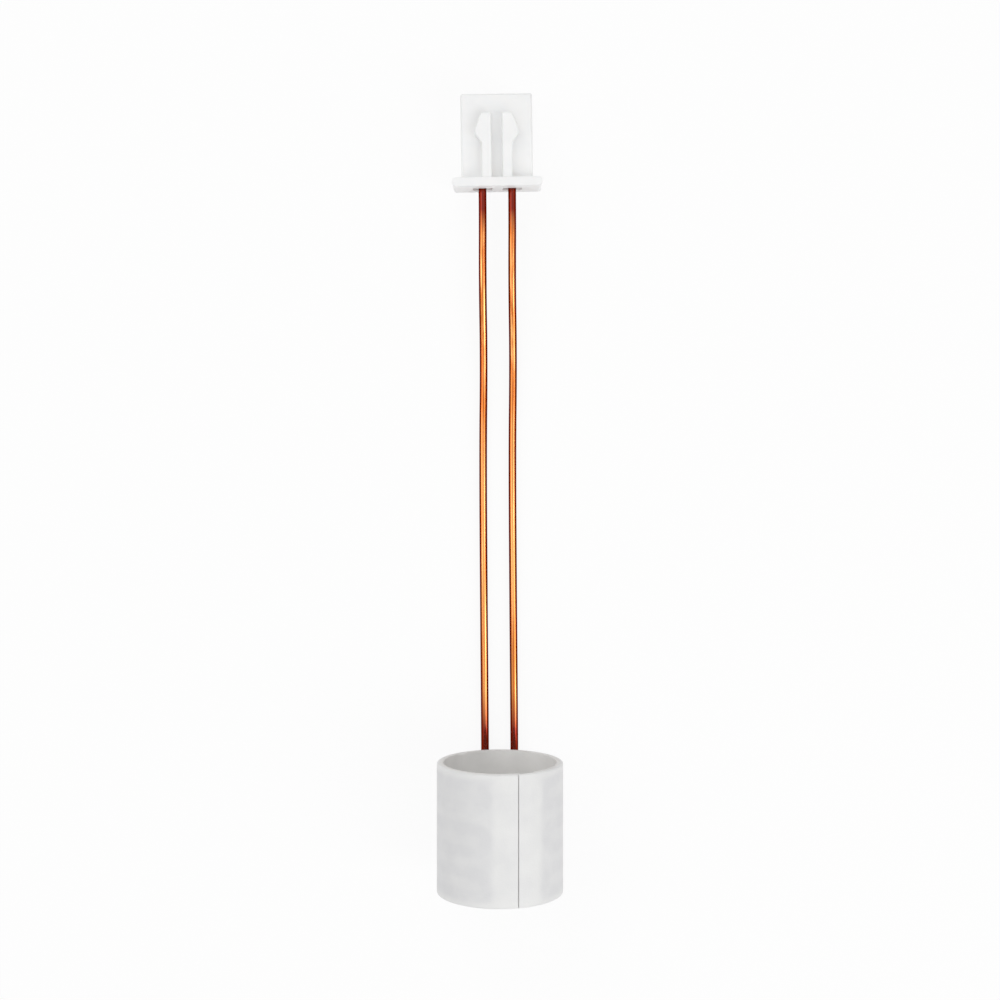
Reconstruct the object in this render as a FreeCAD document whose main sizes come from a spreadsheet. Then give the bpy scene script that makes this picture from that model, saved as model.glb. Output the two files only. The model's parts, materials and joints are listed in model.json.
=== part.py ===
import FreeCAD, Part

import math
import os

import Sketcher
from FreeCAD import Placement, Rotation, Vector

# Ring-shaped ceramic heater with two leads and a two-way plug, lying on a flat surface.
#
# The ring's bore runs along Y. Its leads are brazed to the underside, run along the surface
# towards +Y and end in a plug that lies on its back. The origin is on the surface, under the
# middle of the ring. Sizes are in millimetres.

# Driving dimensions: alias, value, meaning. Angles are in degrees, and those round the ring
# start at its top and grow towards +X.
SIZES = [
    ("ring_bore", 9.3, "bore that slides over the heated barrel"),
    ("core_wall", 0.33, "wall of the core"),
    ("ring_length", 10.7, "length of the ring along its bore"),
    ("wrap_thickness", 0.22, "printed ceramic sheet rolled round the core"),
    ("rim_bevel", 0.18, "bevel of the sheet's outer rims"),
    ("bore_bevel", 0.06, "bevel at both ends of the bore"),
    ("seam_angle", 16.6, "place of the gap between the sheet's two ends"),
    ("seam_gap", 0.14, "width of that gap"),
    ("chip_angle", 24.0, "place of the chip in the core's rim"),
    ("chip_width", 1.1, "length of the chip round the rim"),
    ("chip_depth", 0.09, "depth of the chip along the bore"),
    ("trace_thickness", 0.04, "printed metal track"),
    ("run_width", 0.95, "width of one run of the track"),
    ("run_gap", 0.9, "gap inside one loop of the track"),
    ("loop_gap", 0.7, "gap between neighbouring loops"),
    ("blank_angle", 23.0, "bare strip on each side of the seam"),
    ("back_gap", 6.0, "half of the bare strip between the two back ends"),
    ("land_length", 1.6, "length of the track's end lands along the bore"),
    ("pad_width", 1.5, "terminal pad, round the ring"),
    ("pad_length", 4.2, "terminal pad, along the ring"),
    ("pad_thickness", 0.04, "terminal pad"),
    ("pad_margin", 0.9, "from the ring's end to the pads"),
    ("via_d", 0.5, "metal-filled hole from the pad to the track"),
    ("braze_length", 3.8, "bead of braze over a lead's end"),
    ("braze_skin", 0.07, "braze over the lead"),
    ("braze_taper", 0.5, "tapered stretch at each end of a bead"),
    ("braze_foot", 1.2, "width of a bead on its pad"),
    ("lead_d", 0.66, "copper wire of 0.6 with its enamel"),
    ("lead_gap", 0.01, "between a lead and its pad"),
    ("lead_inset", 4.5, "how far a lead reaches under the ring"),
    ("lead_pitch", 2.5, "distance between the leads and between the contacts"),
    ("free_length", 47.5, "from the ring's end to the plug"),
    ("plug_offset", -0.22, "place of the plug's middle along X"),
    ("plug_turn", 0.8, "the plug's turn about Z"),
    ("plug_length", 7.77, "housing from its wire end to its mating end"),
    ("plug_width", 5.97, "housing without its flange"),
    ("plug_depth", 4.3, "housing without its ribs"),
    ("plug_bevel", 0.12, "bevel of the housing's long and mating edges"),
    ("flange_width", 7.5, "flange at the wire end"),
    ("flange_depth", 5.2, "flange from back to front"),
    ("flange_thickness", 0.75, "flange"),
    ("flange_round", 0.32, "rounding of the flange's ends"),
    ("rib_gap", 0.92, "gap between the two locking ribs"),
    ("rib_width", 0.8, "locking rib without its barb"),
    ("rib_height", 0.8, "locking rib above the housing's front"),
    ("rib_setback", 1.66, "from the mating end to the ribs"),
    ("barb_reach", 0.54, "how far a barb stands out from its rib"),
    ("barb_lead", 1.39, "length of the barb's slope at the mating side"),
    ("barb_flat", 0.41, "length of the barb's crest"),
    ("barb_back", 0.66, "length of the barb's slope at the wire side"),
    ("rib_bevel", 0.08, "bevel of the ribs' front edges"),
    ("contact_height", 2.3, "contact axis above the housing's back"),
    ("contact_play", 0.05, "gap between a contact and its cavity"),
    ("mating_wall", 0.75, "wall between a cavity and the mating face"),
    ("post_opening", 0.95, "square opening for a header post"),
    ("post_bevel", 0.18, "bevel round that opening"),
    ("window_width", 0.9, "window behind a contact's lance"),
    ("window_length", 2.0, "window behind a contact's lance"),
    ("window_start", 3.6, "from the wire end to the window"),
    ("stock", 0.2, "sheet that the contacts are formed from"),
    ("shell_width", 1.5, "contact's receptacle"),
    ("shell_height", 1.7, "contact's receptacle"),
    ("shell_length", 2.9, "contact's receptacle"),
    ("spring_reach", 0.3, "how far each spring bows into the receptacle"),
    ("spring_ramp", 0.9, "sloping stretch at each end of a spring"),
    ("spring_margin", 0.25, "from the receptacle's ends to its springs"),
    ("spring_width", 0.8, "contact's springs"),
    ("lance_length", 1.1, "contact's lance"),
    ("lance_width", 0.6, "contact's lance"),
    ("lance_rise", 0.4, "how far the lance stands out"),
    ("crimp_length", 1.2, "barrel crimped on the lead's bare end"),
    ("grip_length", 1.0, "barrel crimped on the enamel"),
    ("grip_start", 0.9, "from the housing's wire end to that barrel"),
    ("crimp_gap", 0.4, "between the two barrels"),
    ("crimp_seam", 0.06, "gap along the top of both barrels"),
    ("barrel_lift", 0.02, "bottom of the barrels' insides above the strip's inner face"),
    ("brush", 0.15, "how far the lead's end stands out of its barrel"),
    ("neck_length", 0.4, "between the conductor barrel and the receptacle"),
    ("neck_width", 0.9, "strip that joins the barrels to the receptacle"),
    ("lead_in", 1.4, "from a lead's last bend to the plug"),
]

# The leads' middle line between the ring and the plug: X, the distance from the ring's end,
# and the lift off the surface. Each lead follows it at half the pitch to one side.
ROUTE = [
    (-0.04, 2.8, 0.07),
    (-0.12, 11.6, 0.02),
    (-0.21, 25.0, 0.03),
    (-0.12, 33.0, 0.28),
    (-0.23, 39.8, 1.18),
]
ROUTE_LENGTH = 47.5  # the free length that the route is drawn for
ARC_SHARE = 0.45  # share of the shorter run that an arc takes up at each point
LOOPS = 3  # loops of the heating track, one above the other
SIDES = (("left", -1), ("right", 1))
CLEAR = 0.5  # how far the chip's cutting outline stands past the core's wall
WALL_SHARE = 0.9  # largest share of a wall that a bevel or a rounding takes
TINY = 1e-6
DEGREES = 180 / math.pi  # in a radian


class Size:
    """A length or an angle, together with the spreadsheet formula that gives it."""

    def __init__(self, value, formula):
        self.value = value
        self.formula = formula

    def _joined(self, other, sign, value):
        return Size(value, f"({self.formula} {sign} {sized(other).formula})")

    def __add__(self, other):
        return self._joined(other, "+", self.value + sized(other).value)

    def __sub__(self, other):
        return self._joined(other, "-", self.value - sized(other).value)

    def __mul__(self, other):
        return self._joined(other, "*", self.value * sized(other).value)

    def __truediv__(self, other):
        return self._joined(other, "/", self.value / sized(other).value)

    def __neg__(self):
        return Size(-self.value, f"(-1 * {self.formula})")


def sized(number):
    return number if isinstance(number, Size) else Size(float(number), repr(float(number)))


def within(length, wall):
    """The size of a bevel or a rounding, held under the wall that it is cut from."""
    most = wall * WALL_SHARE
    return Size(min(length.value, most.value), f"min({length.formula}; {most.formula})")


doc = FreeCAD.newDocument("ceramic_heater")
sheet = doc.addObject("Spreadsheet::Sheet", "Sizes")
for row, (alias, number, meaning) in enumerate(SIZES, start=1):
    sheet.set(f"A{row}", str(number))
    sheet.setAlias(f"A{row}", alias)
    sheet.set(f"B{row}", meaning)
doc.recompute()


def cell(alias):
    return Size(float(sheet.get(alias)), f"Sizes.{alias}")


def number(alias):
    return float(sheet.get(alias))


bore_radius = cell("ring_bore") / 2
core_radius = bore_radius + cell("core_wall")
ring_radius = core_radius + cell("wrap_thickness")
trace_radius = core_radius + cell("trace_thickness")
half_length = cell("ring_length") / 2
lead_side = number("lead_pitch") / 2
bead_radius = number("lead_d") / 2 + number("braze_skin")
lead_radius = ring_radius.value + number("pad_thickness") + number("lead_gap")
lead_radius += number("lead_d") / 2
lead_turn = math.degrees(math.asin(lead_side / lead_radius))
axis_height = bead_radius + math.sqrt(lead_radius**2 - lead_side**2)

# The ring's parts are drawn with the bore along their own Z and their top towards -Y, and the
# plug's parts with the mating direction along Z and the back at Y = 0. Both are laid down.
LAID_DOWN = Rotation(Vector(1, 0, 0), -90)
ring_place = Placement(Vector(0, 0, axis_height), LAID_DOWN)
plug_start = number("ring_length") / 2 + number("free_length")
plug_place = Placement(
    Vector(number("plug_offset"), plug_start, 0), Rotation(Vector(0, 0, 1), number("plug_turn"))
) * Placement(Vector(), LAID_DOWN)


def body(name, place=None):
    made = doc.addObject("PartDesign::Body", name)
    made.Label = name
    if place:
        made.Placement = place
    return made


def plane(of_body, role):
    return next(f for f in of_body.Origin.OriginFeatures if f.Role == role)


def sketch_on(of_body, role, name, offset=None, turn=None):
    """A sketch on one of the body's planes, moved along its normal and turned in place."""
    made = of_body.newObject("Sketcher::SketchObject", name)
    made.AttachmentSupport = [(plane(of_body, role), "")]
    made.MapMode = "FlatFace"
    shift, angle = sized(offset or 0), sized(turn or 0)
    made.AttachmentOffset = Placement(
        Vector(0, 0, shift.value), Rotation(Vector(0, 0, 1), angle.value)
    )
    if offset is not None:
        made.setExpression("AttachmentOffset.Base.z", shift.formula)
    return made


def pin_point(sketch, geometry, end, x, y):
    """Fixes one point of a sketch at a place given by two sizes."""
    for kind, coordinate in (("DistanceX", sized(x)), ("DistanceY", sized(y))):
        made = sketch.addConstraint(
            Sketcher.Constraint(kind, -1, 1, geometry, end, coordinate.value)
        )
        sketch.setExpression(f"Constraints[{made}]", coordinate.formula)


def outline(sketch, points):
    """A closed outline of straight lines through points given by two sizes each."""
    spots = [Vector(sized(x).value, sized(y).value, 0) for x, y in points]
    first = sketch.GeometryCount
    count = len(points)
    for i in range(count):
        sketch.addGeometry(Part.LineSegment(spots[i], spots[(i + 1) % count]), False)
    for i in range(count):
        following = first + (i + 1) % count
        sketch.addConstraint(Sketcher.Constraint("Coincident", first + i, 2, following, 1))
        pin_point(sketch, first + i, 1, *points[i])


def rectangle(sketch, left, right, low, high):
    outline(sketch, [(left, low), (right, low), (right, high), (left, high)])


def circle(sketch, x, y, radius):
    spot = Vector(sized(x).value, sized(y).value, 0)
    made = sketch.addGeometry(Part.Circle(spot, Vector(0, 0, 1), radius.value), False)
    pin_point(sketch, made, 3, x, y)
    size = sketch.addConstraint(Sketcher.Constraint("Radius", made, radius.value))
    sketch.setExpression(f"Constraints[{size}]", radius.formula)


def pad(of_body, sketch, length, both_sides=False, name="Pad"):
    made = of_body.newObject("PartDesign::Pad", name)
    made.Profile = sketch
    made.setExpression("Length", sized(length).formula)
    made.Midplane = both_sides
    doc.recompute()
    return made


def pocket(of_body, sketch, depth, along_normal=False, name="Pocket"):
    """Cuts a sketch's outline out of the body, and makes sure that it cut something."""
    before = of_body.Shape.Volume
    made = of_body.newObject("PartDesign::Pocket", name)
    made.Profile = sketch
    made.Reversed = along_normal
    made.setExpression("Length", sized(depth).formula)
    doc.recompute()
    if of_body.Shape.Volume > before - TINY:
        raise ValueError(f"{name} cut nothing out of {of_body.Name}")
    return made


def revolve(of_body, sketch, angle=None, name="Revolution", kind="Revolution"):
    """Turns a sketch about the body's Z: all the way, or by half of an angle to each side."""
    made = of_body.newObject(f"PartDesign::{kind}", name)
    made.Profile = sketch
    made.ReferenceAxis = (sketch, ["V_Axis"])
    made.Angle = 360 if angle is None else angle.value
    if angle is not None:
        made.Midplane = True
        made.setExpression("Angle", angle.formula)
    doc.recompute()
    return made


def mirror(of_body, features, role, name):
    """Repeats features on the other side of one of the body's planes."""
    made = of_body.newObject("PartDesign::Mirrored", name)
    made.Originals = features
    made.MirrorPlane = (plane(of_body, role), [""])
    of_body.Tip = made
    doc.recompute()
    return made


def edges_where(feature, test):
    return [f"Edge{i}" for i, edge in enumerate(feature.Shape.Edges, start=1) if test(edge)]


def dress(of_body, kind, feature, edges, length):
    """A Fillet or a Chamfer of a given size on some edges of a feature."""
    made = of_body.newObject(f"PartDesign::{kind}", kind)
    made.Base = (feature, edges)
    made.setExpression("Radius" if kind == "Fillet" else "Size", length.formula)
    doc.recompute()
    return made


def rim_edges(feature, radius):
    """The full circles of one radius round the body's Z."""
    return edges_where(
        feature,
        lambda e: isinstance(e.Curve, Part.Circle) and abs(e.Curve.Radius - radius.value) < TINY,
    )


def ceramic_core():
    """Sintered alumina tube. Its upper end has a small chip in the rim."""
    core = body("ceramic_core", ring_place)
    profile = sketch_on(core, "XZ_Plane", "core_profile")
    rectangle(profile, bore_radius, core_radius, -half_length, half_length)
    tube = revolve(core, profile)
    dress(core, "Chamfer", tube, rim_edges(tube, bore_radius), cell("bore_bevel"))
    turn = cell("chip_angle") - 90
    notch = sketch_on(core, "XY_Plane", "chip_profile", half_length, turn)
    half_chip = cell("chip_width") / 2
    rectangle(notch, bore_radius - CLEAR, core_radius + CLEAR, -half_chip, half_chip)
    pocket(core, notch, cell("chip_depth"), name="chip")
    return core


def track_patch(angle_from, angle_to, low, high):
    """A piece of the printed track between two angles and two places along the bore."""
    inner, outer = core_radius.value, trace_radius.value
    corners = [(inner, low), (outer, low), (outer, high), (inner, high), (inner, low)]
    face = Part.Face(Part.makePolygon([Vector(r, 0, z) for r, z in corners]))
    patch = face.revolve(Vector(), Vector(0, 0, 1), angle_to - angle_from)
    patch.rotate(Vector(), Vector(0, 0, 1), angle_from - 90)
    return patch


def heating_trace():
    """Printed metal track: a serpentine down one half of the ring and up the other.

    Both halves start at a land under a terminal pad, turn back beside the seam, and meet
    behind the lowest run. Runs, turns and lands keep faces of their own, each one a plain
    patch of a cylinder.
    """
    width = number("run_width")
    loop = 2 * width + number("run_gap")
    starts = []
    for start in range(LOOPS):
        top = track_top().value - start * (loop + number("loop_gap"))
        starts += [top, top - loop + width]
    turn_width = math.degrees(width / core_radius.value)
    back = 180 - number("back_gap")
    land = math.degrees(number("pad_width") / core_radius.value) / 2
    pieces = []
    for side in (-1, 1):
        front = side * number("seam_angle") + number("blank_angle")
        spans = [(front, back, start - width, start) for start in starts]
        spans[-1] = (front, 180, starts[-1] - width, starts[-1])
        for row in range(len(starts) - 1):
            if row % 2 == 0:
                joint = (front, front + turn_width)
            else:
                joint = (back - turn_width, back)
            spans.append((*joint, starts[row + 1] - width, starts[row]))
        middle = 180 - lead_turn
        spans.append((middle - land, middle + land, starts[0] - number("land_length"), starts[0]))
        for near, far, low, high in spans:
            ends = sorted((side * near, side * far))
            pieces.append(track_patch(*ends, low, high))
    track = doc.addObject("Part::Feature", "heating_trace")
    track.Shape = pieces[0].multiFuse(pieces[1:])
    track.Placement = ring_place
    track.Label = "heating_trace"
    return track


def pad_blank(side_name, side):
    """Plated metal pad on the ring's underside, with a filled hole that reaches the track."""
    turn = Rotation(180 - side * lead_turn - 90, 0, 0)
    made = body(f"pad_blank_{side_name}", ring_place * Placement(Vector(), turn))
    top = half_length - cell("pad_margin")
    plate = sketch_on(made, "XZ_Plane", f"pad_profile_{side_name}")
    outer = ring_radius + cell("pad_thickness")
    rectangle(plate, ring_radius, outer, top - cell("pad_length"), top)
    revolve(made, plate, cell("pad_width") / ring_radius * DEGREES, "land")
    in_track = core_radius + cell("trace_thickness") / 2
    hole = sketch_on(made, "YZ_Plane", f"via_profile_{side_name}", in_track)
    circle(hole, 0, top - cell("via_d"), cell("via_d") / 2)
    pad(made, hole, ring_radius - in_track + cell("pad_thickness") / 2, name="via")
    return made


def cut(name, base, tool):
    made = doc.addObject("Part::Cut", name)
    made.Base = base
    made.Tool = tool
    made.Label = name
    doc.recompute()
    return made


def track_top():
    """How far the track reaches from the ring's middle along the bore."""
    loop = cell("run_width") * 2 + cell("run_gap")
    return (loop * LOOPS + cell("loop_gap") * (LOOPS - 1)) / 2


def ceramic_wrap(blanks):
    """Ceramic sheet rolled round the core from one side of the seam to the other.

    Its inside is sunk over the printed area, so that the track lies in it.
    """
    turn = Rotation(number("seam_angle") + 90, 0, 0)
    blank = body("wrap_blank", ring_place * Placement(Vector(), turn))
    full = sized(360)
    profile = sketch_on(blank, "XZ_Plane", "wrap_profile")
    rectangle(profile, core_radius, ring_radius, -half_length, half_length)
    rolled = revolve(blank, profile, full - cell("seam_gap") / core_radius * DEGREES)
    bevel = within(cell("rim_bevel"), cell("wrap_thickness"))
    dress(blank, "Chamfer", rolled, rim_edges(rolled, ring_radius), bevel)
    before = blank.Shape.Volume
    printed = sketch_on(blank, "XZ_Plane", "printed_profile")
    rectangle(printed, core_radius, trace_radius, -track_top(), track_top())
    revolve(blank, printed, full - cell("blank_angle") * 2, "printed_area", "Groove")
    if blank.Shape.Volume > before - TINY:
        raise ValueError("printed_area cut nothing")
    vias = doc.addObject("Part::MultiFuse", "pad_blanks")
    vias.Shapes = list(blanks)
    return cut("ceramic_wrap", blank, vias)


def rounded_line(corners):
    """A line past the corners, as straight runs joined by arcs as large as the runs allow.

    Gives the line and the arcs' radii.
    """
    edges, radii = [], []
    here = corners[0]
    for before, corner, after in zip(corners, corners[1:], corners[2:]):
        into, out = corner - before, after - corner
        reach = ARC_SHARE * min(into.Length, out.Length)
        into.normalize()
        out.normalize()
        half_turn = into.getAngle(out) / 2
        radius = reach / math.tan(half_turn)
        inward = (out - into).normalize()
        start, end = corner - into * reach, corner + out * reach
        middle = corner + inward * (radius / math.cos(half_turn) - radius)
        edges.append(Part.LineSegment(here, start).toShape())
        edges.append(Part.Arc(start, middle, end).toShape())
        radii.append(radius)
        here = end
    edges.append(Part.LineSegment(here, corners[-1]).toShape())
    return Part.Wire(edges), radii


def lead(side_name, side):
    """Enamelled wire from under the ring to the crimped end of its contact."""
    stretch = number("free_length") / ROUTE_LENGTH
    ring_end = number("ring_length") / 2
    x = side * lead_side
    tail = Vector(x, ring_end - number("lead_inset"), bead_radius)
    corners = [tail]
    for offset, along, lift in ROUTE:
        height = number("lead_d") / 2 + lift
        corners.append(Vector(x + offset, ring_end + along * stretch, height))
    for depth in (-number("lead_in"), lead_depth):
        corners.append(plug_place.multVec(Vector(x, -lead_height, depth)))
    line, radii = rounded_line(corners)
    section = Part.Circle(tail, corners[1] - tail, number("lead_d") / 2).toShape()
    made = doc.addObject("Part::Feature", f"lead_{side_name}")
    made.Shape = line.makePipeShell([Part.Wire(section)], True, False)
    made.Label = made.Name
    area = math.pi / 4 * number("lead_d") ** 2
    print(f"{made.Name}: {line.Length:.2f} mm, radii", " ".join(f"{r:.1f}" for r in radii))
    print(f"  volume {made.Shape.Volume:.4f}, section x length {area * line.Length:.4f}")
    return made


def braze(side_name, side, wire):
    """Bead of braze that holds a lead's end on its pad. The ring rests on the two beads."""
    turn = Rotation(180 - side * lead_turn - 90, 0, 0)
    on_lead = Placement(Vector(), turn) * Placement(Vector(lead_radius, 0, 0), Rotation(180, 0, 0))
    bead = body(f"bead_{side_name}", ring_place * on_lead)
    middle = half_length - cell("pad_margin") - cell("pad_length") / 2
    start, end = middle - cell("braze_length") / 2, middle + cell("braze_length") / 2
    bare, skin = cell("lead_d") / 2, cell("lead_d") / 2 + cell("braze_skin")
    taper = cell("braze_taper")
    spindle = sketch_on(bead, "XZ_Plane", f"spindle_profile_{side_name}")
    outline(spindle, [
        (0, start), (bare, start), (skin, start + taper), (skin, end - taper), (bare, end),
        (0, end),
    ])
    revolve(bead, spindle, name="spindle")
    foot = sketch_on(bead, "XY_Plane", f"foot_profile_{side_name}", start + taper)
    half_foot = cell("braze_foot") / 2
    to_pad = bare + cell("lead_gap") + cell("pad_thickness")
    outline(foot, [(0, -skin), (to_pad, -half_foot), (to_pad, half_foot), (0, skin)])
    pad(bead, foot, end - start - taper * 2, name="foot")
    seat = ring_radius + cell("pad_thickness")
    ring = doc.addObject("Part::Cylinder", f"ring_space_{side_name}")
    ring.setExpression("Radius", seat.formula)
    ring.setExpression("Height", "Sizes.ring_length")
    ring.Placement = ring_place * Placement(Vector(0, 0, -half_length.value), Rotation())
    taken = doc.addObject("Part::MultiFuse", f"bead_seat_{side_name}")
    taken.Shapes = [ring, wire]
    return cut(f"braze_{side_name}", bead, taken)


def contact(side_name, side):
    """Contact formed from sheet: two crimped barrels, a neck, and a receptacle with springs.

    Its Z is the receptacle's axis, from the housing's wire end towards the mating end, and
    the side with the lance faces +Y.
    """
    place = Placement(Vector(side * lead_side, -number("contact_height"), 0), Rotation())
    made = body(f"contact_{side_name}", plug_place * place)
    half_width, half_height = cell("shell_width") / 2, cell("shell_height") / 2
    stock = cell("stock")
    inside = cell("lead_d") / 2
    wire_y = half_height - stock - cell("barrel_lift") - inside
    crimp_start = cell("grip_start") + cell("grip_length") + cell("crimp_gap")
    shell_start = crimp_start + cell("crimp_length") + cell("neck_length")
    shell_end = shell_start + cell("shell_length")

    strip = sketch_on(made, "XY_Plane", f"strip_{side_name}", cell("grip_start"))
    half_neck = cell("neck_width") / 2
    rectangle(strip, -half_neck, half_neck, half_height - stock, half_height)
    pad(made, strip, shell_start - cell("grip_start"), name="strip")
    barrels = (
        ("grip", cell("grip_start"), cell("grip_length")),
        ("crimp", crimp_start, cell("crimp_length")),
    )
    for name, start, length in barrels:
        rings = sketch_on(made, "XY_Plane", f"{name}_{side_name}", start)
        circle(rings, 0, wire_y, inside)
        circle(rings, 0, wire_y, inside + stock)
        pad(made, rings, length, name=name)
    tops = sketch_on(made, "XY_Plane", f"seam_{side_name}", cell("grip_start"))
    half_seam = cell("crimp_seam") / 2
    rectangle(tops, -half_seam, half_seam, wire_y - half_height * 2, wire_y)
    barrels_end = crimp_start + cell("crimp_length") - cell("grip_start")
    pocket(made, tops, barrels_end, along_normal=True, name="barrel_seam")

    shell = sketch_on(made, "XY_Plane", f"shell_{side_name}", shell_start)
    rectangle(shell, -half_width, half_width, -half_height, half_height)
    inner_width, inner_height = half_width - stock, half_height - stock
    rectangle(shell, -inner_width, inner_width, -inner_height, inner_height)
    pad(made, shell, cell("shell_length"), name="receptacle")
    bow = sketch_on(made, "XZ_Plane", f"spring_{side_name}")
    margin = cell("spring_margin")
    low, high = shell_start + margin, shell_end - margin
    crest_low, crest_high = low + cell("spring_ramp"), high - cell("spring_ramp")
    face = -inner_width + cell("spring_reach")
    outline(bow, [
        (-inner_width, low), (face, crest_low), (face, crest_high), (-inner_width, high),
        (-inner_width, high - stock), (face - stock, crest_high - stock / 2),
        (face - stock, crest_low + stock / 2), (-inner_width, low + stock),
    ])
    spring = pad(made, bow, cell("spring_width"), both_sides=True, name="spring")
    mirror(made, [spring], "YZ_Plane", "springs")
    tip = cell("window_start") + cell("contact_play")
    root = tip + cell("lance_length")
    slot = sketch_on(made, "XZ_Plane", f"lance_slot_{side_name}", -half_height)
    half_slot = cell("lance_width") / 2 + cell("contact_play")
    rectangle(slot, -half_slot, half_slot, shell_start + margin, root)
    pocket(made, slot, stock, along_normal=True, name="lance_slot")
    tongue = sketch_on(made, "YZ_Plane", f"lance_{side_name}")
    rise = cell("lance_rise")
    outline(tongue, [
        (half_height - stock, root + stock / 2), (half_height, root + stock / 2),
        (half_height + rise, tip), (half_height + rise - stock, tip),
    ])
    pad(made, tongue, cell("lance_width"), both_sides=True, name="lance")
    return made


def plug_housing():
    """Moulded housing with a flange at the wire end, two locking ribs and two cavities."""
    made = body("plug_housing", plug_place)
    half_width, depth, length = cell("plug_width") / 2, cell("plug_depth"), cell("plug_length")
    block = sketch_on(made, "XY_Plane", "block_profile")
    rectangle(block, -half_width, half_width, -depth, 0)
    plain = pad(made, block, length, name="block")
    rounded = edges_where(plain, lambda e: e.BoundBox.ZMax > number("plug_length") - TINY)
    dress(made, "Chamfer", plain, rounded, cell("plug_bevel"))
    rim = sketch_on(made, "XY_Plane", "flange_profile")
    half_flange = cell("flange_width") / 2
    rectangle(rim, -half_flange, half_flange, -cell("flange_depth"), 0)
    flange = pad(made, rim, cell("flange_thickness"), name="flange")
    ends = edges_where(
        flange,
        lambda e: e.BoundBox.XLength < TINY and abs(abs(e.BoundBox.XMin) - half_flange.value) < TINY
        and e.BoundBox.YLength > TINY,
    )
    rounding = within(cell("flange_round"), cell("flange_thickness") / 2)
    dress(made, "Fillet", flange, ends, rounding)

    rib = sketch_on(made, "XZ_Plane", "rib_profile", depth)
    inside = cell("rib_gap") / 2
    outside = inside + cell("rib_width")
    top = length - cell("rib_setback")
    crest_top = top - cell("barb_lead")
    crest_low = crest_top - cell("barb_flat")
    crest = outside + cell("barb_reach")
    foot = cell("flange_thickness")
    outline(rib, [
        (inside, foot), (outside, foot), (outside, crest_low - cell("barb_back")),
        (crest, crest_low), (crest, crest_top), (outside, top), (inside, top),
    ])
    ribs = mirror(made, [pad(made, rib, cell("rib_height"), name="rib")], "YZ_Plane", "ribs")
    front = -(number("plug_depth") + number("rib_height"))
    fronts = edges_where(
        ribs,
        lambda e: abs(e.BoundBox.YMin - front) < TINY and e.BoundBox.YLength < TINY
        and e.BoundBox.ZMin > foot.value - TINY and e.BoundBox.ZMax > foot.value + TINY,
    )
    dress(made, "Chamfer", ribs, fronts, cell("rib_bevel"))

    centre = -cell("contact_height")
    play = cell("contact_play")
    cavity_width = cell("shell_width") / 2 + play
    cavity_height = cell("shell_height") / 2 + play
    half_pitch = cell("lead_pitch") / 2
    cavities = sketch_on(made, "XY_Plane", "cavity_profile")
    posts = sketch_on(made, "XY_Plane", "post_profile", length)
    bevels = sketch_on(made, "XY_Plane", "bevel_profile", length)
    windows = sketch_on(made, "XZ_Plane", "window_profile")
    half_post, half_window = cell("post_opening") / 2, cell("window_width") / 2
    start = cell("window_start")
    for x in (-half_pitch, half_pitch):
        low, high = centre - cavity_height, centre + cavity_height
        rectangle(cavities, x - cavity_width, x + cavity_width, low, high)
        rectangle(posts, x - half_post, x + half_post, centre - half_post, centre + half_post)
        end = start + cell("window_length")
        rectangle(windows, x - half_window, x + half_window, start, end)
    pocket(made, cavities, length - cell("mating_wall"), along_normal=True, name="cavities")
    pocket(made, windows, -centre - cavity_height, along_normal=True, name="windows")
    openings = pocket(made, posts, cell("mating_wall"), name="post_openings")
    mouths = edges_where(
        openings,
        lambda e: e.BoundBox.ZMin > number("plug_length") - TINY
        and abs(e.BoundBox.Center.x) < number("lead_pitch")
        and abs(e.BoundBox.Center.y - centre.value) < half_post.value + TINY
        and e.Length < number("post_opening") + TINY,
    )
    dress(made, "Chamfer", openings, mouths, cell("post_bevel"))
    return made


lead_height = (
    number("contact_height") - number("shell_height") / 2
    + number("stock") + number("barrel_lift") + number("lead_d") / 2
)
crimps_end = (
    number("grip_start") + number("grip_length") + number("crimp_gap") + number("crimp_length")
)
lead_depth = crimps_end + number("brush")

trace = heating_trace()
blanks = {name: pad_blank(name, side) for name, side in SIDES}
nodes = [ceramic_core(), trace, ceramic_wrap(blanks.values())]
for name, side in SIDES:
    wire = lead(name, side)
    nodes += [cut(f"terminal_pad_{name}", blanks[name], trace), wire]
    nodes += [braze(name, side, wire), contact(name, side)]
nodes.append(plug_housing())
doc.recompute()

for made in doc.Objects:
    if {"Invalid", "Error"} & set(made.State):
        raise ValueError(f"{made.Name} failed: {made.State}")
for node in nodes:
    if node.Shape.isNull() or not node.Shape.isValid():
        raise ValueError(f"{node.Label} has no valid shape")
os.makedirs("parts", exist_ok=True)
for node in nodes:
    print(f"{node.Label}: {len(node.Shape.Solids)} solid(s), {node.Shape.Volume:.4f} mm3")
    node.Shape.exportStep(f"parts/{node.Label}.step")
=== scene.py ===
import json
import math

import bmesh
import bpy
from mathutils import Matrix, Vector, noise


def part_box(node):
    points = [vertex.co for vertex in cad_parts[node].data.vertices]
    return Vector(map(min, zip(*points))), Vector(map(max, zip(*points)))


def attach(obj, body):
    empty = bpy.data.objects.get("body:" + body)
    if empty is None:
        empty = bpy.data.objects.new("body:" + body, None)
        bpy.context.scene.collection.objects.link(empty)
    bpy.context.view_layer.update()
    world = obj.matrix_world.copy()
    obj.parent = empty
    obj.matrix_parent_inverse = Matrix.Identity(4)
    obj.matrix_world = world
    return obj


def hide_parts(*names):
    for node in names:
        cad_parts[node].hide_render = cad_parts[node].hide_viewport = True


# Ring-shaped ceramic heater lying on a pale table: a sintered tube with a printed sheet
# rolled round it, two enamelled copper leads brazed to its underside, and a moulded plug.
# Lengths are in millimetres until MM turns them to metres. Angles round the ring are in
# degrees, start at its top and grow towards +X.

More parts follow.
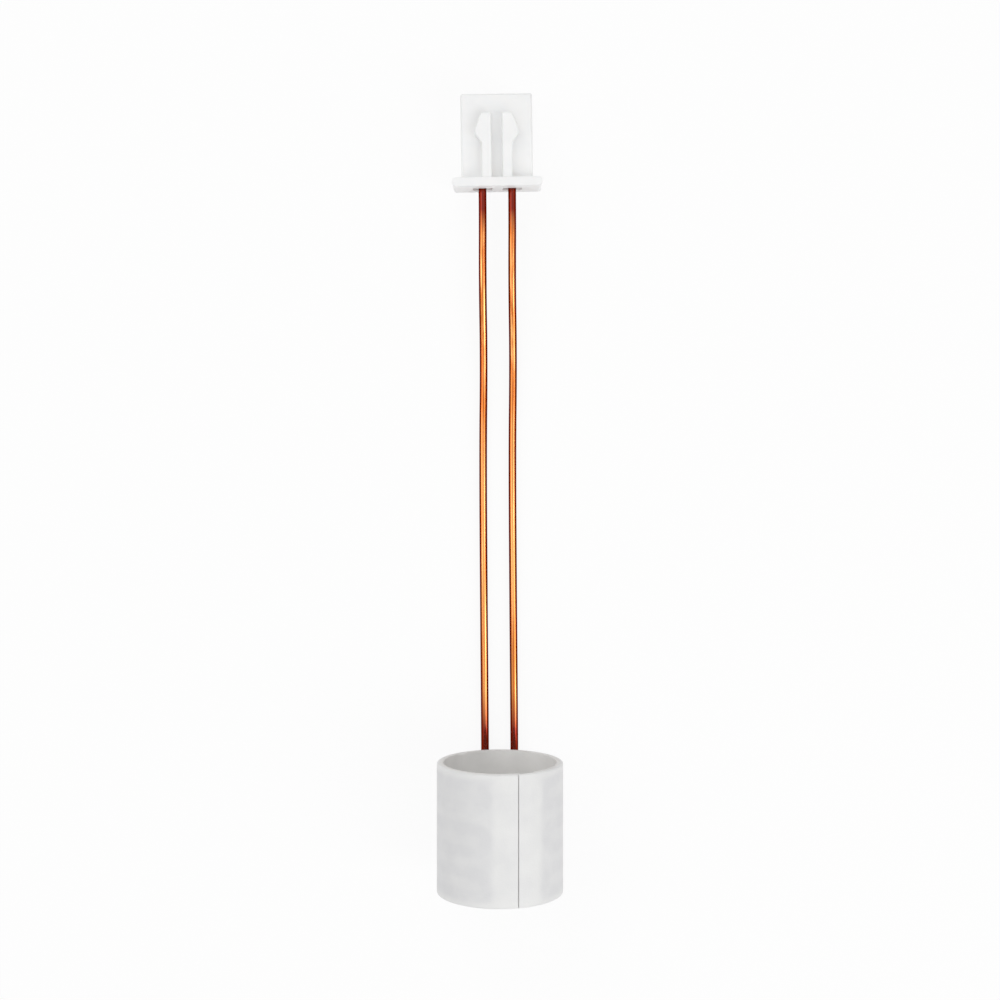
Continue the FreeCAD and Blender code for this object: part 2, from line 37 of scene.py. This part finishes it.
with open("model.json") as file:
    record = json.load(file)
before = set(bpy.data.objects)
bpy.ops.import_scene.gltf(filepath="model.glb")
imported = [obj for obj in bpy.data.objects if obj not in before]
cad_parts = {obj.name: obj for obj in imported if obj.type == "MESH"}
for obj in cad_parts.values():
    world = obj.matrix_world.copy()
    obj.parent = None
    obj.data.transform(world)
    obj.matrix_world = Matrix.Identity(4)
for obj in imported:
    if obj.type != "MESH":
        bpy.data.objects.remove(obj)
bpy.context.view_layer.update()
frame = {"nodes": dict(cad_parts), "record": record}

MM = 0.001
SMOOTH_BELOW = math.radians(35)
SIDES = (("left", -1), ("right", 1))

# The ring, read from the frame.
core_low, core_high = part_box("ceramic_core")
wrap_low, wrap_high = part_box("ceramic_wrap")
AXIS_HEIGHT = (core_low.z + core_high.z) / 2 / MM
CORE_RADIUS = (core_high.x - core_low.x) / 2 / MM
RING_RADIUS = (wrap_high.x - wrap_low.x) / 2 / MM
HALF_LENGTH = core_high.y / MM
BORE_RADIUS = frame["record"]["mounts"][0]["dims"]["r_mm"]
RIM_ROUND = 0.20
BORE_ROUND = 0.06
SEAM_ANGLE = 16.6
SEAM_GAP = 0.09  # a little narrower than the solid's, because its shadow widens it
SEAM_ROUND = 0.11
TURN_STEPS = 270  # steps round the sheet
TUBE_STEPS = 360  # steps round the tube
TINY = 1e-5

# Chips in the core's rim at the leads' end: angle, length round the rim, depth.
CHIPS = ((27.0, 1.5, 0.15), (-137.0, 0.8, 0.12))

# The printed track under the sheet.
RUN_WIDTH = 0.95
RUN_GAP = 0.90
LOOP_GAP = 0.70
LOOPS = 3
BLANK_ANGLE = 23.0
PRINT_BLUR = 0.26
PRINT_RAGGED = 0.14  # how far the print's front edge wanders
ZONE_SHARE = 0.68  # of the shadow, the share that covers the whole printed area

# The leads are painted a darker red-brown near both ends. These are the
# places along Y where that begins and where it is full.
DARKER_BY_RING = (10.5, 7.0)
DARKER_BY_PLUG = (49.0, 51.2)

MOULD_ROUND = 0.05  # the plug's edges
BEAD_VOXEL = 0.035  # mesh size of the braze

# The leads' middle line: X, Y and height of the route's points as far as the plug. The last
# two points are in the plug's own frame. Each lead stands half a pitch to one side.
LEAD_DIAMETER = 0.66
HALF_PITCH = 1.25
ROUTE = [
    (0.00, 0.85, 0.40),
    (-0.04, 8.15, 0.40),
    (-0.12, 16.95, 0.35),
    (-0.21, 30.35, 0.36),
    (-0.12, 38.35, 0.61),
    (-0.23, 45.15, 1.51),
]
PLUG_START = (-0.22, 52.85)
PLUG_TURN = 0.8
IN_PLUG = [(-1.4, 2.0), (3.65, 2.0)]

# The photographer's camera looks straight down, with its picture moved down a little.
CAMERA_Y = 36.52
CAMERA_ABOVE_AXIS = 150.0
CAMERA_LENS = 65.58
CAMERA_SHIFT = -0.1169

# Soft lamps: place in metres, width and height in metres, watts.
LAMPS = [
    ("right_panel", (0.29, -0.10, 0.30), (0.20, 0.30), 0.50),
    ("left_panel", (-0.29, 0.06, 0.30), (0.18, 0.34), 0.24),
    ("far_panel", (-0.14, 0.34, 0.30), (0.26, 0.22), 0.27),
    ("near_panel", (0.03, -0.32, 0.34), (0.30, 0.20), 0.17),
]
AIR_OVERHEAD = 0.56  # the world's strength straight up and at the horizon
AIR_LOW = 0.58
FLOOR_WHITE = 0.9  # share of plain white in the table top as the lens sees it


def colour(code):
    """Turns an sRGB hex value to the linear colour that sockets hold."""
    parts = [int(code[i:i + 2], 16) / 255 for i in (1, 3, 5)]
    linear = [p / 12.92 if p <= 0.04045 else ((p + 0.055) / 1.055) ** 2.4 for p in parts]
    return (*linear, 1.0)


def add(tree, kind, inputs=None, **settings):
    """Adds a node. An input given as a socket is linked, and any other is set."""
    made = tree.nodes.new("ShaderNode" + kind)
    for name, value in settings.items():
        setattr(made, name, value)
    for name, value in (inputs or {}).items():
        if isinstance(value, bpy.types.NodeSocket):
            tree.links.new(value, made.inputs[name])
        else:
            made.inputs[name].default_value = value
    return made


def new_tree(name):
    """A material with an empty tree."""
    made = bpy.data.materials.new(name)
    made.use_nodes = True
    made.node_tree.nodes.clear()
    return made, made.node_tree


def finish(tree, surface):
    """Links a shader to the material's output."""
    add(tree, "OutputMaterial", {"Surface": surface.outputs[0]})


def object_place(tree):
    """Object coordinates in metres, for patterns that stay with the piece."""
    return add(tree, "TexCoord").outputs["Object"]


def patches(tree, place, size, detail=3.0):
    """Noise whose patches measure about the given size in millimetres."""
    inputs = {"Vector": place, "Scale": 1 / (size * MM), "Detail": detail}
    return add(tree, "TexNoise", inputs).outputs["Fac"]


def span(tree, value, low, high, to_low=0.0, to_high=1.0):
    """Maps a value from one range to another, held at the ends."""
    inputs = {
        "Value": value, "From Min": low, "From Max": high, "To Min": to_low, "To Max": to_high,
    }
    return add(tree, "MapRange", inputs).outputs["Result"]


def blend(tree, factor, code_a, code_b):
    """Mixes two colours, each a socket or a hex value."""
    made = add(tree, "Mix", data_type="RGBA")
    sockets = [s for s in made.inputs if s.enabled]
    for socket, value in zip(sockets, (factor, code_a, code_b)):
        if isinstance(value, bpy.types.NodeSocket):
            tree.links.new(value, socket)
        else:
            socket.default_value = colour(value) if isinstance(value, str) else value
    return next(s for s in made.outputs if s.enabled)


def bump(tree, height, depth):
    """A normal from a height, whose full range is the given depth in millimetres."""
    inputs = {"Height": height, "Strength": 1.0, "Distance": depth * MM}
    return add(tree, "Bump", inputs).outputs[0]


def stretched(tree, place, share):
    """Coordinates in which a pattern runs long along Y, drawn out by one over the share."""
    return add(tree, "Mapping", {"Vector": place, "Scale": (1.0, share, 1.0)}).outputs[0]


def sintered_alumina(name, code, shade_code, printed=False):
    """Sintered alumina, 96 % pure, fired white and left matt.

    Its grain of a few hundredths of a millimetre is too fine to show, so it is drawn three
    times coarser. The eye sees a dry, even white with faint cloudy patches.
    """
    made, tree = new_tree(name)
    place = object_place(tree)
    clouds = span(tree, patches(tree, place, 2.2), 0.35, 0.7)
    base = blend(tree, clouds, code, shade_code)
    if printed:
        # The track lies a fifth of a millimetre deep and shows as a soft grey shadow.
        show = add(tree, "Attribute", attribute_name="print_shadow").outputs["Fac"]
        blotches = span(tree, patches(tree, place, 1.5), 0.3, 0.7, 0.6, 1.2)
        shadow = add(tree, "Math", {0: show, 1: blotches}, operation="MULTIPLY").outputs[0]
        base = blend(tree, shadow, base, "#DEDEDF")
    grain = patches(tree, place, 0.12, 2.0)
    rough = span(tree, patches(tree, place, 0.5), 0.3, 0.7, 0.55, 0.68)
    shader = add(tree, "BsdfPrincipled", {
        "Base Color": base, "Roughness": rough, "IOR": 1.76, "Specular IOR Level": 0.35,
        "Normal": bump(tree, grain, 0.008),
    })
    finish(tree, shader)
    return made


def printed_tungsten():
    """Tungsten paste, screen printed and fired in the sheet: dark grey and dull."""
    made, tree = new_tree("printed_tungsten")
    place = object_place(tree)
    base = blend(tree, patches(tree, place, 0.2), "#4A4A4E", "#6A6A6E")
    shader = add(tree, "BsdfPrincipled", {"Base Color": base, "Metallic": 0.7, "Roughness": 0.55})
    finish(tree, shader)
    return made


def plated(name, code, shade_code, low_rough, high_rough, wave):
    """Electroplated metal, satin, with faint clouds in its gloss."""
    made, tree = new_tree(name)
    place = object_place(tree)
    cloud = patches(tree, place, wave)
    base = blend(tree, span(tree, cloud, 0.35, 0.7), code, shade_code)
    shader = add(tree, "BsdfPrincipled", {
        "Base Color": base, "Metallic": 1.0,
        "Roughness": span(tree, cloud, 0.3, 0.7, low_rough, high_rough),
        "Normal": bump(tree, patches(tree, place, wave / 4), 0.006),
    })
    finish(tree, shader)
    return made


def enamelled_copper():
    """Drawn copper wire under baked polyester varnish: glossy, amber over orange metal.

    Its sides are painted dark brown as painted shade, and its coat fades there. Paler and darker
    stripes lie along it at random, the pale ones painted highlights, and its ends are painted
    darker.
    """
    made, tree = new_tree("enamelled_copper")
    place = object_place(tree)
    waves = stretched(tree, place, 0.06)
    # Stripes along the wire at random, darker and paler orange; the pale ones are painted
    # highlights.
    streaks_and_painted_highlights = patches(tree, stretched(tree, place, 0.02), 0.2, 1.0)
    crown = blend(tree, span(tree, streaks_and_painted_highlights, 0.35, 0.65), "#C46A24", "#F8AC66")
    redder = span(tree, patches(tree, waves, 0.9), 0.45, 0.75, 0.0, 0.6)
    crown = blend(tree, redder, crown, "#D4621E")
    # Painted shade: the colour turns dark brown where the surface faces away from straight up, so
    # the wire's sides read dark.
    facing = add(tree, "TexCoord").outputs["Normal"]
    up = add(tree, "SeparateXYZ", {"Vector": facing}).outputs["Z"]
    painted_shade_flank = span(tree, up, 0.80, 0.88, 1.0, 0.0)
    base = blend(tree, painted_shade_flank, crown, "#782A0A")
    # Darker red-brown towards both ends of each lead.
    along = add(tree, "SeparateXYZ", {"Vector": place}).outputs["Y"]
    begins, full = DARKER_BY_RING
    by_ring = span(tree, along, full * MM, begins * MM, 1.0, 0.0)
    begins, full = DARKER_BY_PLUG
    by_plug = span(tree, along, begins * MM, full * MM)
    darker_ends = add(tree, "Math", {0: by_ring, 1: by_plug}, operation="MAXIMUM").outputs[0]
    base = blend(tree, darker_ends, base, "#781A02")
    shader = add(tree, "BsdfPrincipled", {
        "Base Color": base, "Metallic": 1.0, "Roughness": 0.16,
        "Specular Tint": colour("#8A4A2A"), "Coat Weight": span(tree, up, 0.82, 0.94, 0.0, 0.4),
        "Coat Roughness": 0.06, "Coat IOR": 1.6,
        "Normal": bump(tree, patches(tree, waves, 0.7, 1.0), 0.02),
    })
    finish(tree, shader)
    return made


def natural_nylon():
    """Polyamide 66, injection moulded in its natural colour: milky white and satin.

    A little light passes through its thin walls, and the mould leaves a faint eroded grain.
    """
    made, tree = new_tree("natural_nylon")
    place = object_place(tree)
    clouds = span(tree, patches(tree, place, 1.8), 0.35, 0.7)
    shader = add(tree, "BsdfPrincipled", {
        "Base Color": blend(tree, clouds, "#FAFAF9", "#F5F6F6"),
        "Roughness": span(tree, patches(tree, place, 0.4), 0.3, 0.7, 0.38, 0.5),
        "IOR": 1.53, "Subsurface Weight": 0.6, "Subsurface Radius": (1.0, 0.97, 0.94),
        "Subsurface Scale": 0.8 * MM,
        "Normal": bump(tree, patches(tree, place, 0.15), 0.004),
    })
    finish(tree, shader)
    return made


def shown_to_lens(tree):
    """1 for what the lens sees straight, in a reflection or through glass, and 0 for light."""
    paths = add(tree, "LightPath").outputs
    seen = paths["Is Camera Ray"]
    for kind in ("Is Glossy Ray", "Is Transmission Ray"):
        seen = add(tree, "Math", {0: seen, 1: paths[kind]}, operation="MAXIMUM").outputs[0]
    return seen


def floor_material():
    """A pale table top, white to the lens and in reflections, which keeps the shadows."""
    made, tree = new_tree("table_top")
    share = span(tree, shown_to_lens(tree), 0.0, 1.0, 0.0, FLOOR_WHITE)
    matt = add(tree, "BsdfDiffuse", {"Color": colour("#F4F4F4")}).outputs[0]
    white = add(tree, "Emission", {"Color": colour("#FFFFFF"), "Strength": 1.0}).outputs[0]
    finish(tree, add(tree, "MixShader", {0: share, 1: matt, 2: white}))
    return made


def to_object(name, mesh, material, slot, *replaced):
    """Makes an object of a finished bmesh, hangs it on the root and hides the nodes it replaces.
    """
    data = bpy.data.meshes.new(name)
    mesh.to_mesh(data)
    mesh.free()
    data.transform(Matrix.Scale(MM, 4))
    for face in data.polygons:
        face.use_smooth = True
    data.set_sharp_from_angle(angle=SMOOTH_BELOW)
    made = bpy.data.objects.new(name, data)
    bpy.context.scene.collection.objects.link(made)
    data.materials.append(material)
    return declare(made, slot, *replaced)


def declare(made, slot, *replaced):
    """Hangs a piece on the root and hides the nodes it stands for; the slot is not used."""
    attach(made, "root")
    if replaced:
        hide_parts(*replaced)
    return made


def on_ring(angle, radius, along):
    """A point of the ring from its angle, its distance from the axis and its place along it."""
    turn = math.radians(angle)
    return Vector((radius * math.sin(turn), along, AXIS_HEIGHT + radius * math.cos(turn)))


def at_end(vert):
    """Whether a vertex lies in one of the ring's end planes."""
    return abs(abs(vert.co.y) - HALF_LENGTH) < TINY


def ring_section(mesh, inner, outer, angle, rounds, rows):
    """The ring's section at one angle, with rounded corners and rows along the bore.

    rounds gives the size of the rounding at the inner and the outer corners, or 0 for sharp.
    """
    corners = [
        (inner, -HALF_LENGTH), (outer, -HALF_LENGTH), (outer, HALF_LENGTH), (inner, HALF_LENGTH),
    ]
    spots = [mesh.verts.new(on_ring(angle, radius, along)) for radius, along in corners]
    section = mesh.faces.new(spots)
    long_edges = [e for e in section.edges if abs(e.verts[0].co.y - e.verts[1].co.y) > HALF_LENGTH]
    bmesh.ops.subdivide_edges(mesh, edges=long_edges, cuts=rows)
    for near, size in zip((inner, outer), rounds):
        if size:
            tips = [
                v for v in mesh.verts
                if at_end(v)
                and (v.co - on_ring(angle, near, v.co.y)).length < TINY
            ]
            bmesh.ops.bevel(
                mesh, geom=tips, affect="VERTICES", offset=size, offset_type="OFFSET",
                segments=4, profile=0.5, material=-1,
            )


def spin_ring(mesh, degrees, steps):
    """Turns the section about the ring's axis, open or all the way round.

    All the way round it has no ends, so only the section's outline is turned.
    """
    whole = degrees >= 360
    if whole:
        across = [e for e in mesh.edges if len(e.link_faces) > 1]
        bmesh.ops.delete(mesh, geom=across, context="EDGES")
        bmesh.ops.delete(mesh, geom=mesh.faces[:], context="FACES_ONLY")
    geometry = mesh.verts[:] + mesh.edges[:] + mesh.faces[:]
    bmesh.ops.spin(
        mesh, geom=geometry, cent=(0, 0, AXIS_HEIGHT), axis=(0, 1, 0), angle=math.radians(degrees),
        steps=steps, use_merge=whole, use_duplicate=False,
    )
    bmesh.ops.remove_doubles(mesh, verts=mesh.verts, dist=TINY)
    bmesh.ops.recalc_face_normals(mesh, faces=mesh.faces)


def turned_angle(spot, start=0.0):
    """A point's angle round the ring from a starting angle, from -180 to 180."""
    angle = math.degrees(math.atan2(spot.x, spot.z - AXIS_HEIGHT))
    return (angle - start + 180) % 360 - 180


def from_axis(spot):
    """A point's distance from the ring's axis."""
    return math.hypot(spot.x, spot.z - AXIS_HEIGHT)


def soft_step(value):
    """Goes smoothly from 0 to 1 as the value does, and stays there beyond."""
    value = min(max(value, 0.0), 1.0)
    return value * value * (3 - 2 * value)


def chip(mesh, angle, length, depth):
    """Breaks a shallow shell-shaped flake out of the rim at the leads' end."""
    half = length / 2
    for vert in mesh.verts:
        from_rim = HALF_LENGTH - vert.co.y
        if from_rim > depth:
            continue
        away = abs(math.radians(turned_angle(vert.co, angle)) * CORE_RADIUS) / half
        if away < 1:
            rough = 0.75 + 0.5 * noise.noise(vert.co * 4.0)
            wall_share = (from_axis(vert.co) - BORE_RADIUS) / (CORE_RADIUS - BORE_RADIUS)
            inward = 1 - 0.75 * wall_share
            vert.co.y -= (depth - from_rim) * soft_step((1 - away) * 5) * rough * inward


def print_shadow(spot):
    """How strongly the track shows at a point of the sheet, from 0 to 1."""
    swing = abs(turned_angle(spot, SEAM_ANGLE))
    front = math.radians(swing - BLANK_ANGLE) * RING_RADIUS
    loop = 2 * RUN_WIDTH + RUN_GAP
    top = (loop * LOOPS + LOOP_GAP * (LOOPS - 1)) / 2
    front += PRINT_RAGGED * noise.noise(Vector((0, spot.y * 1.1, spot.x / RING_RADIUS)))
    zone = soft_step(0.5 + front / (3 * PRINT_BLUR))
    zone *= soft_step(0.5 + (top - abs(spot.y)) / (2 * PRINT_BLUR))
    bend = (loop - RUN_WIDTH) / 2
    shown = 0.0
    for row in range(LOOPS):
        middle = top - loop / 2 - row * (loop + LOOP_GAP)
        across, before = abs(spot.y - middle), front - RUN_WIDTH / 2 - bend
        reach = math.hypot(min(before, 0.0), across) if before < 0 else across
        off = abs(reach - bend)
        shown = max(shown, soft_step(0.5 + (RUN_WIDTH / 2 - off) / (2 * PRINT_BLUR)))
    shown *= soft_step(0.5 + front / (2 * PRINT_BLUR))
    return ZONE_SHARE * zone + (1 - ZONE_SHARE) * shown


def ceramic_sheet():
    """Printed sheet rolled round the core from one side of the seam to the other.

    Its two lips along the seam are rounded.
    """
    mesh = bmesh.new()
    gap = math.degrees(SEAM_GAP / CORE_RADIUS)
    ring_section(mesh, CORE_RADIUS, RING_RADIUS, SEAM_ANGLE + gap / 2, (0, RIM_ROUND), 72)
    spin_ring(mesh, 360 - gap, TURN_STEPS)
    on_lips = {
        v for v in mesh.verts
        if abs(turned_angle(v.co, SEAM_ANGLE)) < gap / 2 + 1e-3
        and from_axis(v.co) > RING_RADIUS - RIM_ROUND
    }
    lips = [e for e in mesh.edges if on_lips.issuperset(e.verts)]
    bmesh.ops.bevel(
        mesh, geom=lips, affect="EDGES", offset=SEAM_ROUND, offset_type="OFFSET",
        segments=3, profile=0.5, clamp_overlap=True, material=-1,
    )
    layer = mesh.verts.layers.float.new("print_shadow")
    for vert in mesh.verts:
        vert[layer] = print_shadow(vert.co)
    material = sintered_alumina("printed_sheet", "#EBEBEA", "#E5E5E5", printed=True)
    return to_object("rolled_sheet", mesh, material, "alumina_wrap", "ceramic_wrap")


def core():
    """Sintered tube with eased bore edges and two small chips in one rim."""
    mesh = bmesh.new()
    ring_section(mesh, BORE_RADIUS, CORE_RADIUS, 0, (BORE_ROUND, 0), 6)
    rims = [e for e in mesh.edges if all(at_end(v) for v in e.verts)]
    bmesh.ops.subdivide_edges(mesh, edges=rims, cuts=4)
    spin_ring(mesh, 360, TUBE_STEPS)
    for angle, length, depth in CHIPS:
        chip(mesh, angle, length, depth)
    return to_object(
        "sintered_tube", mesh, sintered_alumina("tube_alumina", "#E9E8E6", "#E1E0DE"),
        "alumina_core", "ceramic_core",
    )


def merged_copy(node):
    """A bmesh of a node's mesh with its corners joined, in millimetres."""
    mesh = bmesh.new()
    mesh.from_mesh(frame["nodes"][node].data)
    bmesh.ops.remove_doubles(mesh, verts=mesh.verts, dist=1e-7)
    bmesh.ops.scale(mesh, verts=mesh.verts, vec=(1 / MM,) * 3)
    return mesh


def housing(material):
    """The moulded plug body, with every edge eased as the mould leaves it."""
    mesh = merged_copy("plug_housing")
    bmesh.ops.dissolve_limit(
        mesh, angle_limit=math.radians(1), verts=mesh.verts[:], edges=mesh.edges[:],
    )
    made = to_object("plug_body", mesh, material, "natural_nylon", "plug_housing")
    rounding = made.modifiers.new("eased_edges", "BEVEL")
    rounding.width = MOULD_ROUND * MM
    rounding.segments = 2
    rounding.limit_method = "ANGLE"
    rounding.angle_limit = math.radians(40)
    rounding.harden_normals = True
    return made


def braze_bead(side_name, material):
    """Bead of braze frozen over a lead's end, drawn smooth by the melt's surface."""
    mesh = merged_copy(f"braze_{side_name}")
    made = to_object(
        f"bead_{side_name}", mesh, material, "silver_braze", f"braze_{side_name}",
    )
    voxels = made.modifiers.new("even_mesh", "REMESH")
    voxels.mode = "VOXEL"
    voxels.voxel_size = BEAD_VOXEL * MM
    voxels.use_smooth_shade = True
    relaxed = made.modifiers.new("surface_tension", "SMOOTH")
    relaxed.factor = 0.5
    relaxed.iterations = 6
    return made


def plug_point(x, depth, height):
    """A point of the plug from its distance to the plug's middle, its depth and its height."""
    turn = math.radians(PLUG_TURN)
    start_x, start_y = PLUG_START
    return Vector((
        start_x + x * math.cos(turn) - depth * math.sin(turn),
        start_y + x * math.sin(turn) + depth * math.cos(turn),
        height,
    ))


def lead(side_name, side, material):
    """Enamelled wire from its braze under the ring to its crimp in the plug."""
    spots = [Vector((side * HALF_PITCH + x, y, z)) for x, y, z in ROUTE]
    spots += [plug_point(side * HALF_PITCH, depth, height) for depth, height in IN_PLUG]
    curve = bpy.data.curves.new(f"lead_wire_{side_name}", "CURVE")
    curve.dimensions = "3D"
    curve.bevel_depth = LEAD_DIAMETER / 2 * MM
    curve.bevel_resolution = 5
    curve.resolution_u = 24
    curve.use_fill_caps = True
    line = curve.splines.new("NURBS")
    line.points.add(len(spots) - 1)
    for point, spot in zip(line.points, spots):
        point.co = (*(spot * MM), 1.0)
    line.order_u = 3
    line.use_endpoint_u = True
    made = bpy.data.objects.new(curve.name, curve)
    bpy.context.scene.collection.objects.link(made)
    curve.materials.append(material)
    declare(made, "enamelled_copper", f"lead_{side_name}")
    return made


def studio_air():
    """A white room, lighter low down than overhead, and plain white to the lens."""
    made = bpy.data.worlds.new("studio_air")
    made.use_nodes = True
    tree = made.node_tree
    way = add(tree, "SeparateXYZ", {"Vector": add(tree, "TexCoord").outputs["Generated"]})
    lit = span(tree, way.outputs["Z"], 0.0, 1.0, AIR_LOW, AIR_OVERHEAD)
    strength = add(tree, "Mix", {"Factor": shown_to_lens(tree), "A": lit, "B": 1.0})
    tree.links.new(strength.outputs["Result"], tree.nodes["Background"].inputs["Strength"])
    tree.nodes["Background"].inputs["Color"].default_value = colour("#FFFFFF")
    return made


def studio():
    """A pale table, four soft lamps, the room's own light and the photographer's camera."""
    scene = bpy.context.scene
    mesh = bmesh.new()
    bmesh.ops.create_grid(mesh, x_segments=1, y_segments=1, size=30)
    data = bpy.data.meshes.new("table_top")
    mesh.to_mesh(data)
    mesh.free()
    data.transform(Matrix.Translation((0, 0, -0.01 * MM)))
    data.materials.append(floor_material())
    table = bpy.data.objects.new("table_top", data)
    scene.collection.objects.link(table)

    scene.world = studio_air()

    middle = Vector((0, 0.025, 0))
    for name, place, size, power in LAMPS:
        lamp = bpy.data.lights.new(name, "AREA")
        lamp.shape = "RECTANGLE"
        lamp.size, lamp.size_y = size
        lamp.energy = power
        holder = bpy.data.objects.new(name, lamp)
        holder.location = place
        holder.rotation_euler = (middle - Vector(place)).to_track_quat("-Z", "Y").to_euler()
        scene.collection.objects.link(holder)

    camera = bpy.data.cameras.new("camera")
    camera.lens = CAMERA_LENS
    camera.shift_y = CAMERA_SHIFT
    camera.clip_start = 0.01
    holder = bpy.data.objects.new("camera", camera)
    holder.location = (0, CAMERA_Y * MM, (AXIS_HEIGHT + CAMERA_ABOVE_AXIS) * MM)
    scene.collection.objects.link(holder)
    scene.camera = holder
    scene.view_settings.view_transform = "Standard"


def dress(node, material):
    """Gives a solid, which is shown as it is, its material and returns it."""
    solid = frame["nodes"][node]
    solid.data.materials.clear()
    solid.data.materials.append(material)
    return solid


studio()
ceramic_sheet()
core()
nylon = natural_nylon()
tin = plated("tin_plate", "#D6D4CF", "#BFBDB8", 0.3, 0.42, 0.6)
silver = plated("silver_braze", "#DAD8D2", "#C2BEB6", 0.28, 0.45, 0.5)
nickel = plated("nickel_plate", "#BDB8AE", "#A8A398", 0.35, 0.5, 0.5)
copper = enamelled_copper()
plug = housing(nylon)
for side_name, side in SIDES:
    contact = dress(f"contact_{side_name}", tin)
    dress(f"terminal_pad_{side_name}", nickel)
    braze_bead(side_name, silver)
    lead(side_name, side, copper)
dress("heating_trace", printed_tungsten())
